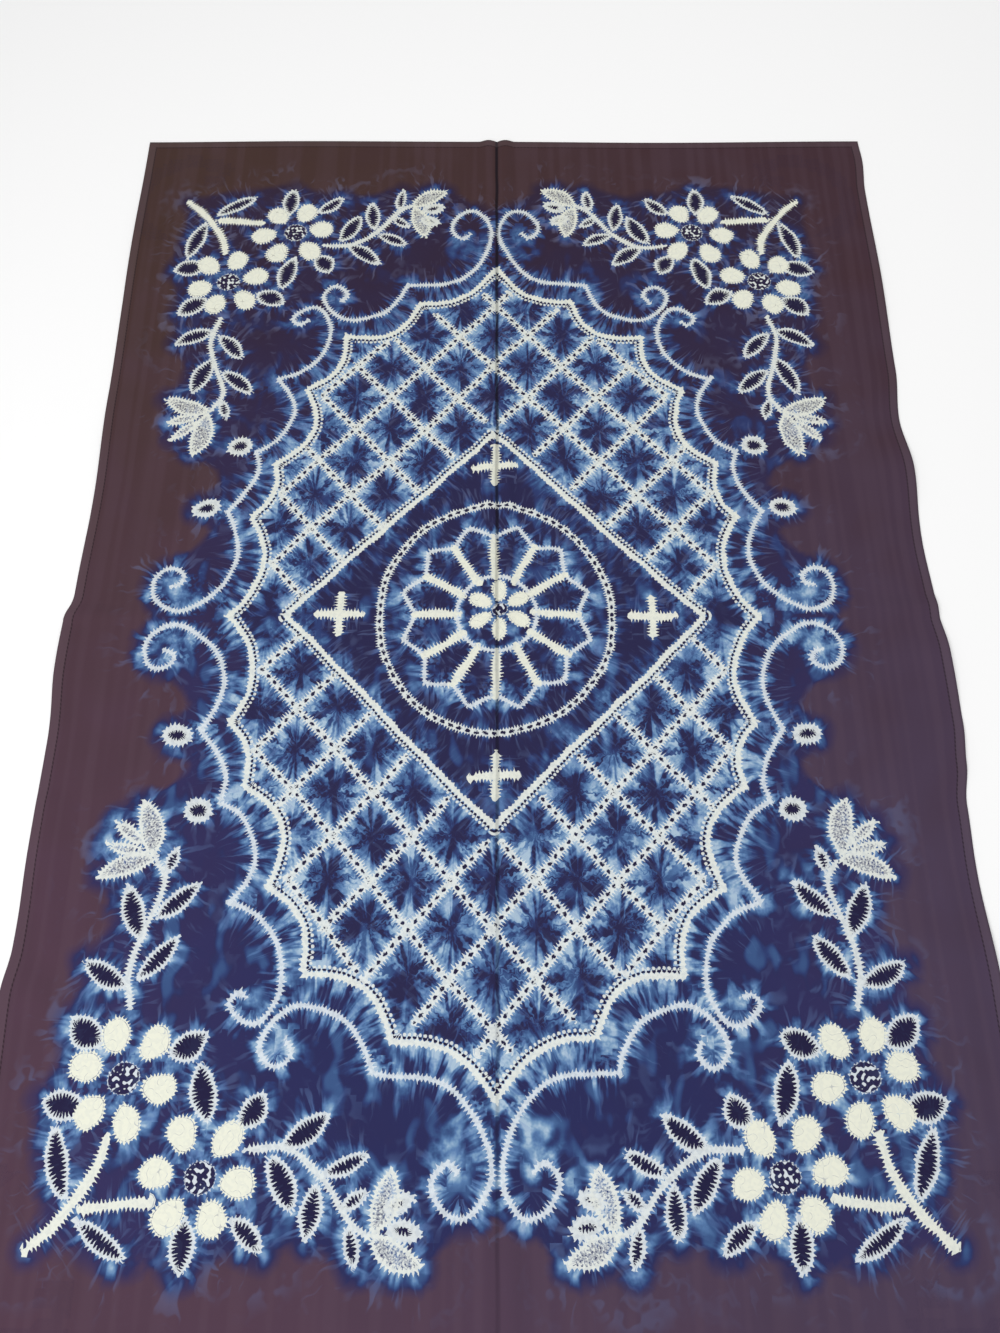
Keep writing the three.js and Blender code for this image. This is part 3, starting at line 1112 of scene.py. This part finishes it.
class StitchGroup:
    """The node group that works out what one stroke leaves on the cloth.

    The close group draws teeth, needle holes and fine rays, for the strokes that are nearest.
    The other one leaves those out.
    """

    inputs = {"Place": "NodeSocketVector", "Spot": "NodeSocketVector", "Star": "NodeSocketFloat"}
    outputs = ("White", "Cream", "Glow", "Dark", "Wisp")
    # How far a line wanders, and how ragged its teeth are along it and at their edge.
    wander_reach = 1.7
    ragged_along = 1.2
    ragged_edge = 2.6
    # How far past the row of holes the pale beads between them lie.
    bead_apart = 3.1

    def __init__(self, close: bool) -> None:
        """Makes the group and its sockets, and fills it."""
        name = "stitched_line_close" if close else "stitched_line"
        self.group = bpy.data.node_groups.new(name, "ShaderNodeTree")
        for socket, kind in self.inputs.items():
            self.group.interface.new_socket(socket, in_out="INPUT", socket_type=kind)
        for socket in self.outputs:
            self.group.interface.new_socket(socket, in_out="OUTPUT", socket_type="NodeSocketFloat")
        self.tree = DyeTree(self.group)
        self.source = self.tree.node("NodeGroupInput")
        self.target = self.tree.node("NodeGroupOutput")
        self.fill(close)

    def table(self, number: Wire, *names: str) -> tuple[Wire, Wire, Wire]:
        """Reads three of a look's values off the style's number."""
        stops = [(0.0, (0.0, 0.0, 0.0))]
        for style, look in LOOKS.items():
            values = tuple(getattr(look, name) for name in names)
            stops.append(((style.value - 0.5) / STYLE_SLOTS, values))
        tree = self.tree
        split = tree.node("ShaderNodeSeparateColor")
        tree.feed(split.inputs[0], tree.shades(number / STYLE_SLOTS, stops, stepped=True))
        return tuple(Wire(tree, output) for output in split.outputs)

    def holds(self, filling: Wire, kind: Filling) -> Wire:
        """1 where the filling is of that kind, and 0 elsewhere."""
        made = self.tree.node("ShaderNodeMath", operation="COMPARE")
        self.tree.feed(made.inputs[0], filling)
        made.inputs[1].default_value = kind
        made.inputs[2].default_value = 0.5
        return Wire(self.tree, made.outputs[0])

    def stitched(self, along: Wire, off: Wire, style: Wire, core: Wire, sewn_length: Wire,
                 plain_length: Wire, hole_place: Wire) -> tuple[Wire, Wire, Wire]:
        """The pale line with its teeth, and the needle holes.

        Args:
            along: the length along the stroke.
            off: the distance off it, positive on the sewn side.
            style: the style's number.
            core: half the width of the solid line.
            sewn_length: the length of the teeth on the sewn side.
            plain_length: the length of the teeth on the other side.
            hole_place: how far the holes lie to the sewn side.

        Returns:
            The line, the holes and the ragged noise.
        """
        tree = self.tree
        pitch, hole_pitch, hole_size = self.table(style, "pitch", "hole_pitch", "hole_size")
        ragged = tree.noise(along, off, 2.6, 1.0, 0.6) - 0.5
        wander = tree.noise(along, style, 15.0) - 0.5
        line_off = off + wander * self.wander_reach
        away = abs(line_off)
        place = along + ragged * self.ragged_along
        count = place / pitch
        number = count.floor()
        tooth = 1.0 - abs(count - number - 0.5) * 2
        chance = tree.chance(number + 0.37)
        length = plain_length + (sewn_length - plain_length) * off.above(0.0)
        edge = core * (0.92 + wander * 0.6) + length * (0.55 + chance * 0.7) * tooth.power(1.9)
        line = (edge + ragged * self.ragged_edge - away).sloped(-0.4, 0.4)

        step = place / hole_pitch
        inner = (abs(step - step.floor() - 0.5) - 0.5) * hole_pitch
        row = line_off - hole_place
        inner_square = inner * inner
        round_hole = (inner_square * 0.6 + row * row * 1.2) / (hole_size * hole_size + 0.001)
        hole = (round_hole - ragged * 3.5).sloped(1.7, 0.7) * hole_size.above(0.3)
        bead_row = row - self.bead_apart
        bead = (inner_square + bead_row * bead_row * 0.7 - ragged * 3.0).sloped(3.6, 1.8)
        beaded = line.most(bead * hole_place.above(1.0) * 0.95)
        return beaded * (1.0 - hole), hole, ragged

    def fill(self, close: bool) -> None:
        """Adds the group's nodes."""
        tree, source, target = self.tree, self.source, self.target
        along, off, code = tree.parts(Wire(tree, source.outputs["Place"]))
        bend_x, bend_y, web = tree.parts(Wire(tree, source.outputs["Spot"]))
        style = code.floor()
        sure = (code - style) / SURE_SCALE
        core, sewn_teeth, plain_teeth = self.table(style, "core", "sewn_teeth", "plain_teeth")
        hole_place, filling, cream = self.table(style, "hole_place", "filling", "cream")
        sewn_glow, plain_glow, reach = self.table(style, "sewn_glow", "plain_glow", "reach")
        away = abs(off)
        is_pool = self.holds(filling, Filling.POOL)
        if close:
            line, hole, ragged = self.stitched(
                along, off, style, core, sewn_teeth, plain_teeth, hole_place)
        else:
            ragged = bend_x
            line = (core + plain_teeth * 0.24 + bend_x * 2.0 - away).sloped(-0.5, 0.5)
            hole = None
        line = line * (1.0 - is_pool) * (0.84 + cream * 0.16)

        deep = off.sloped(0.0, 1.2)
        is_lace = self.holds(filling, Filling.LACE)
        speck = 1.0 - abs(bend_x).sloped(0.020, 0.006) * web.sloped(0.35, 0.6) * 0.34
        lace = web.sloped(0.57, 0.64) * 0.9
        hatch = 0.55 + ragged * 2.2
        filled = deep * (
            self.holds(filling, Filling.CREAM) * speck + is_lace * lace
            + self.holds(filling, Filling.HATCHING) * hatch)
        dark = deep * (self.holds(filling, Filling.BLACK) + is_lace * 0.7)

        glow = plain_glow + (sewn_glow - plain_glow) * off.above(0.0)
        if close:
            bent = along + bend_x * away * 0.11
            broad = tree.noise(bent + bend_y * 4.0, off * 0.3, 12.0, 1.0, 0.5)
            fine = tree.noise(bent, off * 0.12, 4.4, 1.0, 0.6)
            ray = (fine * 0.48 + broad * 0.82).sloped(0.47, 0.84)
            wisp = tree.math("EXPONENT", away / (-4.0 - broad * broad * 70.0))
            wisp = wisp * fine.sloped(0.57, 0.72) * (1.0 - is_pool) * sure * 0.5
            tree.feed(target.inputs["Wisp"], wisp)
            long_ray = tree.math("EXPONENT", away / -30.0) * broad.sloped(0.54, 0.72) * 0.34
        else:
            ray = web.sloped(0.33, 0.68)
        star = Wire(tree, source.outputs["Star"])
        in_lattice = 1.0 - style.above(Style.LATTICE.value + 0.5)
        ray = ray + (star * 0.80 + ray * 0.35 - ray) * in_lattice
        far = away / (reach * (0.25 + ray * 0.85))
        falloff = tree.math("EXPONENT", far * far * -1.0)
        pool = is_pool * off.sloped(-4.0, 14.0) * (0.42 + bend_y * 0.9)
        beside = falloff * (0.45 + ray * 0.5)
        shine = (glow * (beside + long_ray if close else beside) + pool) * sure

        tree.feed(target.inputs["White"], line.most(filled))
        tree.feed(target.inputs["Cream"], cream)
        tree.feed(target.inputs["Glow"], shine)
        tree.feed(target.inputs["Dark"], dark if hole is None else dark.most(hole))

    def place_in(self, tree: DyeTree, layer: int, spot: Wire, star: Wire) -> dict[str, Wire]:
        """Adds the group to a material for one layer of strokes.

        Args:
            tree: the material's tree.
            layer: the number of the layer.
            spot: the bend of the rays and the web, as one vector.
            star: the rays round the middle of each lattice cell.

        Returns:
            The group's outputs by name.
        """
        made = tree.node("ShaderNodeGroup", node_tree=self.group)
        tree.feed(made.inputs["Place"], tree.attribute(f"stitch_{layer}"))
        tree.feed(made.inputs["Spot"], spot)
        tree.feed(made.inputs["Star"], star)
        return {name: Wire(tree, made.outputs[name]) for name in self.outputs}


@dataclass(frozen=True)
class IndigoCotton:
    """Plain-woven cotton, dyed in indigo after the pattern was sewn and drawn tight."""

    thread: float = 0.9
    roughness: float = 0.9
    specular: float = 0.12
    sheen: float = 0.02
    bump_strength: float = 0.5
    bump_depth: float = 0.0006
    weave_height: float = 0.3
    weave_shade: float = 0.10
    # Painted shade between the threads.
    thread_gap_shade: str = "000000"
    navy: str = "2a284c"
    # These colours shift from purple near to brown far. That shift is partly painted sheen of the
    # indigo, and the border's brighter near end is partly painted light. The rest is the dye's own
    # tone.
    field_near: str = "2a2c58"
    field_side: str = "35305a"
    field_far: str = "32253a"
    near_left: str = "513a49"
    near_right: str = "4b3d53"
    far_left: str = "46322d"
    far_right: str = "432d35"
    cream: str = "ebecdb"
    blue_white: str = "dfe7ee"
    black: str = "1f1b3a"
    streaks: str = "6a5664"
    wisps_near: str = "6d8abf"
    wisps_far: str = "8a8fb4"
    # Painted light on the raised hem's band.
    pale_threads: str = "a7b2bf"
    # Painted shade along the lengthwise fold.
    painted_fold_shade: str = "120d18"
    underside: str = "8d8fa8"
    hem_painted_light: str = "8a7b80"
    seam_thread: str = "1d1419"
    # How the dye pales towards a stroke, from a depth of 0 to 1.
    dye_stops: tuple = (
        (0.12, "2b2e58"), (0.26, "2f3d6e"), (0.42, "3d5988"), (0.62, "587baa"),
        (0.80, "7c9dbf"), (1.0, "aac1d5"))
    # From where to where the colours change: along the cloth, across its border, and from
    # the middle of its dyed field to the field's sides.
    near_to_far: tuple[float, float] = (-560.0, 860.0)
    left_to_right: tuple[float, float] = (-520.0, 520.0)
    middle_to_side: tuple[float, float] = (150.0, 480.0)
    # How broad the rays of a lattice cell are, and how far each cell's noise is from the next.
    star_arms: float = 3.0
    cell_apart: float = 9.0
    hem_stitch: float = 2.6

    def star(self, tree: DyeTree, x: Wire, y: Wire, web: Wire) -> Wire:
        """Rays that run out from the middle of each lattice cell, from 0 to 1.

        Args:
            tree: the material's tree.
            x: the place across the cloth.
            y: the place along it.
            web: fine noise that makes the rays ragged.

        Returns:
            The rays.
        """
        half_across, half_along = ResistPattern.lattice_half
        across = (x - PATTERN_MIDDLE[0]) / (half_across * 2)
        along = (abs(y - PATTERN_MIDDLE[1]) - ResistPattern.lattice_start) / (half_along * 2)
        rising, falling = across + along, across - along
        rising_cell, falling_cell = rising.floor(), falling.floor()
        bend = (web - 0.5) * 0.10
        one = rising - rising_cell - 0.5 + bend
        two = falling - falling_cell - 0.5 - bend
        radius = tree.math("SQRT", one * one + two * two) + 0.02
        ring_x = one / radius * self.star_arms + rising_cell * self.cell_apart
        ring_y = two / radius * self.star_arms + falling_cell * self.cell_apart
        return tree.noise(ring_x, ring_y, 1.0, 2.0, 0.6).sloped(0.36, 0.64)

    def combined(self, found: list[dict[str, Wire]]) -> tuple[Wire, Wire, Wire, Wire, Wire]:
        """Puts together what the layers of strokes leave.

        Args:
            found: each layer's outputs by name, the nearest stroke's first.

        Returns:
            The white, the dark, the cream, the glow and the wisps.
        """
        first = found[0]
        white, dark = first["White"], first["Dark"]
        cream = first["Cream"] * first["White"]
        kept = 1.0 - first["Glow"].clamped()
        for each in found[1:]:
            white = white.most(each["White"])
            dark = dark.most(each["Dark"])
            cream = cream.most(each["Cream"] * each["White"])
            kept = kept * (1.0 - each["Glow"].clamped())
        return white, dark, cream, 1.0 - kept, first["Wisp"].most(found[1]["Wisp"])

    def dyed_ground(self, tree: DyeTree, x: Wire, y: Wire, presence: Wire, depth: Wire,
                    patch: Wire, broad: Wire, toward: Wire) -> Wire:
        """The colour of the border and of the dyed field, without the strokes' own marks.

        Args:
            tree: the material's tree.
            x: the place across the cloth.
            y: the place along it.
            presence: 1 in the frame, less in the field and 0 on the border.
            depth: how much the dye is paler than at its deepest.
            patch: noise of about a leaf's size.
            broad: noise of about a flower's size.
            toward: 0 at the near end and 1 at the far one.

        Returns:
            The colour.
        """
        stops = [(at, linear(shade)) for at, shade in self.dye_stops]
        # Partly painted sheen and painted light: the border runs from browner and darker at the
        # far left to purple and brighter at the near end.
        across = (x.sloped(*self.left_to_right) + (broad - 0.5) * 0.4).clamped()
        near = tree.blend(across, self.near_left, self.near_right)
        far = tree.blend(across, self.far_left, self.far_right)
        streak = tree.noise(x, y * 0.02, 12.0).sloped(0.35, 0.7)
        border = tree.blend(toward, near, far)
        border = tree.blend(streak * 0.09, border, self.streaks)
        # Partly painted sheen: the field goes from navy at the near end to purple-brown at the far
        # end.
        side = abs(x).sloped(*self.middle_to_side)
        field_near = tree.blend(side, self.field_near, self.field_side)
        field_dye = tree.blend(toward, field_near, self.field_far)
        deepest = tree.blend(presence.sloped(0.86, 1.0), field_dye, self.navy)
        dyed = tree.blend(depth.sloped(0.02, 0.24), deepest, tree.shades(depth, stops))
        cover = (presence * 1.7 - 0.34 + depth * 2.0 + (patch - 0.5) * 0.5).clamped()
        return tree.blend(cover, border, dyed)

    def hemmed(self, tree: DyeTree, x: Wire, y: Wire, colour: Wire) -> Wire:
        """The colour with the hem's band paler by painted light, and its row of stitches."""
        inwards = (HALF_WIDTH - abs(x)).least(HALF_LENGTH - abs(y))
        # Painted light: the band over the raised hem is made a little paler.
        hem = inwards.sloped(HEM_WIDTH + 0.5, HEM_WIDTH - 1.0)
        colour = tree.blend(hem * 0.10, colour, self.hem_painted_light)
        stitch = tree.math("SINE", (x + y) * (math.pi / self.hem_stitch)).sloped(-0.4, 0.3)
        seam = abs(inwards - (HEM_WIDTH - 0.5)).sloped(1.3, 0.4) * (0.35 + stitch * 0.35)
        return tree.blend(seam, colour, self.seam_thread)

    def build(self, layers: int) -> bpy.types.Material:
        """Makes the material.

        Args:
            layers: how many layers of strokes the mesh keeps.

        Returns:
            The material.
        """
        material = bpy.data.materials.new("indigo_cotton")
        material.use_nodes = True
        material.node_tree.nodes.clear()
        tree = DyeTree(material.node_tree)
        x, y, level = tree.parts(tree.attribute("panel"))
        presence = level.most(level * -1.0 - 1.0).most(0.0)
        underside = (level * -1.0).above(0.5)

        bend_x = tree.noise(x + 31.0, y, 13.0) - 0.5
        bend_y = tree.noise(x, y + 47.0, 15.0) - 0.5
        web = tree.noise(x, y, 4.6)
        spot = tree.place(bend_x, bend_y, web)
        star = self.star(tree, x, y, web)
        groups = [StitchGroup(close=True)] * 2 + [StitchGroup(close=False)] * (layers - 2)
        white, dark, cream, glow, wisp = self.combined(
            [group.place_in(tree, at, spot, star) for at, group in enumerate(groups, start=1)])

        broad = tree.noise(x, y, 80.0, 1.0, 0.6)
        patch = tree.noise(x + 17.0, y * 0.6, 26.0, 1.0, 0.6)
        crinkle = tree.noise(x, y + 9.0, 5.2, 1.0, 0.65)
        toward = (y.sloped(*self.near_to_far) + (broad - 0.5) * 0.5).clamped()
        stain = presence.sloped(0.30, 0.75) * patch.sloped(0.47, 0.75) * (0.40 - toward * 0.30)
        faded = 1.0 - toward * presence.sloped(0.98, 0.88) * 0.42
        depth = (glow * (0.70 + crinkle * 0.60) * faded + stain - dark * 0.9).clamped()

        ground = self.dyed_ground(tree, x, y, presence, depth, patch, broad, toward)
        lavender = tree.blend(toward, self.wisps_near, self.wisps_far)
        ground = tree.blend(wisp * 0.75, ground, lavender)
        ground = tree.blend((dark * 0.85).clamped(), ground, self.black)

        creamy = (cream + toward * 0.42).clamped()
        pale = tree.blend(creamy, self.blue_white, self.cream)
        mottle = web.sloped(0.56, 0.34) * (0.30 - cream * 0.20)
        pale = tree.blend(mottle, pale, self.pale_threads)
        colour = tree.blend(white.clamped(), ground, pale)

        # Painted shade: a dark line along the lengthwise fold, fainter over the white and fading
        # towards the near end.
        crease = abs(x - FOLD_X + (broad - 0.5) * 3.0).sloped(3.4, 0.8) * y.sloped(-1300, 400)
        colour = tree.blend(crease * (0.85 - white * 0.45), colour, self.painted_fold_shade)
        colour = tree.blend(underside * 0.12, colour, self.underside)
        colour = self.hemmed(tree, x, y, colour)

        warp = abs(tree.math("SINE", x * (math.pi / self.thread)))
        weft = abs(tree.math("SINE", y * (math.pi / self.thread)))
        weave = warp * weft
        # Painted shade between the threads of the weave.
        colour = tree.blend(weave * self.weave_shade, colour, self.thread_gap_shade)

        shader = tree.node("ShaderNodeBsdfPrincipled")
        shader.inputs["Roughness"].default_value = self.roughness
        shader.inputs["Specular IOR Level"].default_value = self.specular
        shader.inputs["Sheen Weight"].default_value = self.sheen
        bump = tree.node("ShaderNodeBump")
        bump.inputs["Strength"].default_value = self.bump_strength
        bump.inputs["Distance"].default_value = self.bump_depth
        tree.feed(bump.inputs["Height"], weave * self.weave_height)
        tree.feed(shader.inputs["Base Color"], colour)
        tree.nodes.links.new(bump.outputs["Normal"], shader.inputs["Normal"])
        output = tree.node("ShaderNodeOutputMaterial")
        tree.nodes.links.new(shader.outputs["BSDF"], output.inputs["Surface"])
        return material


@dataclass
class Studio:
    """The pale floor, the soft light and the camera."""

    focal_pixels: float = 927.0
    image_height: float = 1333.0
    tilt: float = 20.0
    camera_place: tuple[float, float, float] = (-0.01175, -0.457, 1.075)
    shift: float = 0.00375
    sensor: float = 36.0
    floor_half: float = 4.0
    floor_drop: float = 0.0004
    floor_white: float = 0.97
    floor_roughness: float = 0.9
    room_light: float = 0.50

    def floor(self) -> None:
        """Lays a plain pale floor under the cloth."""
        grid = bmesh.new()
        bmesh.ops.create_grid(grid, x_segments=2, y_segments=2, size=self.floor_half)
        mesh = bpy.data.meshes.new("studio_floor")
        grid.to_mesh(mesh)
        grid.free()
        plate = bpy.data.objects.new("studio_floor", mesh)
        plate.location.z = -self.floor_drop
        bpy.context.scene.collection.objects.link(plate)
        paint = bpy.data.materials.new("pale_floor")
        paint.use_nodes = True
        shader = paint.node_tree.nodes["Principled BSDF"]
        shader.inputs["Base Color"].default_value = (*[self.floor_white] * 3, 1.0)
        shader.inputs["Roughness"].default_value = self.floor_roughness
        mesh.materials.append(paint)

    def light(self, name: str, place: tuple, aim: tuple, size: float, power: float) -> None:
        """Adds one soft light.

        Args:
            name: the light's name.
            place: where it is, in metres.
            aim: what it points at.
            size: the side of its square face.
            power: its power in watts.
        """
        lamp = bpy.data.lights.new(name, "AREA")
        lamp.energy = power
        lamp.size = size
        holder = bpy.data.objects.new(name, lamp)
        holder.location = place
        way = Vector(aim) - Vector(place)
        holder.rotation_euler = way.to_track_quat("-Z", "Y").to_euler()
        bpy.context.scene.collection.objects.link(holder)

    def lights(self) -> None:
        """Adds the window light, its fill and the room's own light."""
        self.light("window", (-1.5, -1.9, 2.3), aim=(0.0, 0.0, 0.0), size=1.6, power=52.0)
        self.light("overhead", (0.5, 0.9, 2.6), aim=(0.0, 0.1, 0.0), size=2.6, power=26.0)
        world = bpy.data.worlds.new("room")
        world.use_nodes = True
        background = world.node_tree.nodes["Background"]
        background.inputs["Color"].default_value = (1.0, 1.0, 1.0, 1.0)
        background.inputs["Strength"].default_value = self.room_light
        bpy.context.scene.world = world

    def camera(self) -> None:
        """Places the camera where the photograph was taken from."""
        lens = bpy.data.cameras.new("camera")
        lens.sensor_width = self.sensor
        lens.lens = self.sensor * self.focal_pixels / self.image_height
        lens.shift_x = self.shift
        lens.clip_start = 0.01
        holder = bpy.data.objects.new("camera", lens)
        holder.location = self.camera_place
        holder.rotation_euler = (math.radians(self.tilt), 0.0, 0.0)
        bpy.context.scene.collection.objects.link(holder)
        bpy.context.scene.camera = holder

    def build(self) -> None:
        """Builds the whole studio."""
        self.floor()
        self.lights()
        self.camera()
        view = bpy.context.scene.view_settings
        view.view_transform = "Standard"
        view.look = "None"


def main() -> None:
    """Builds the cloth and the studio."""
    logging.basicConfig(level=logging.INFO, format="%(name)s: %(message)s")
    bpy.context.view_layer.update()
    pattern = ResistPattern()
    strokes = pattern.draw()
    log.info("pattern: %d strokes", len(strokes))
    piece = ClothSheet().build()
    stitches = StitchMap(strokes)
    write_stitches(piece, stitches)
    piece.data.materials.append(IndigoCotton().build(stitches.layers))
    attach(piece, "root")
    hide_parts("cloth")
    log.info("tablecloth: on the solid's folds")
    Studio().build()


if __name__ == "__main__":
    main()
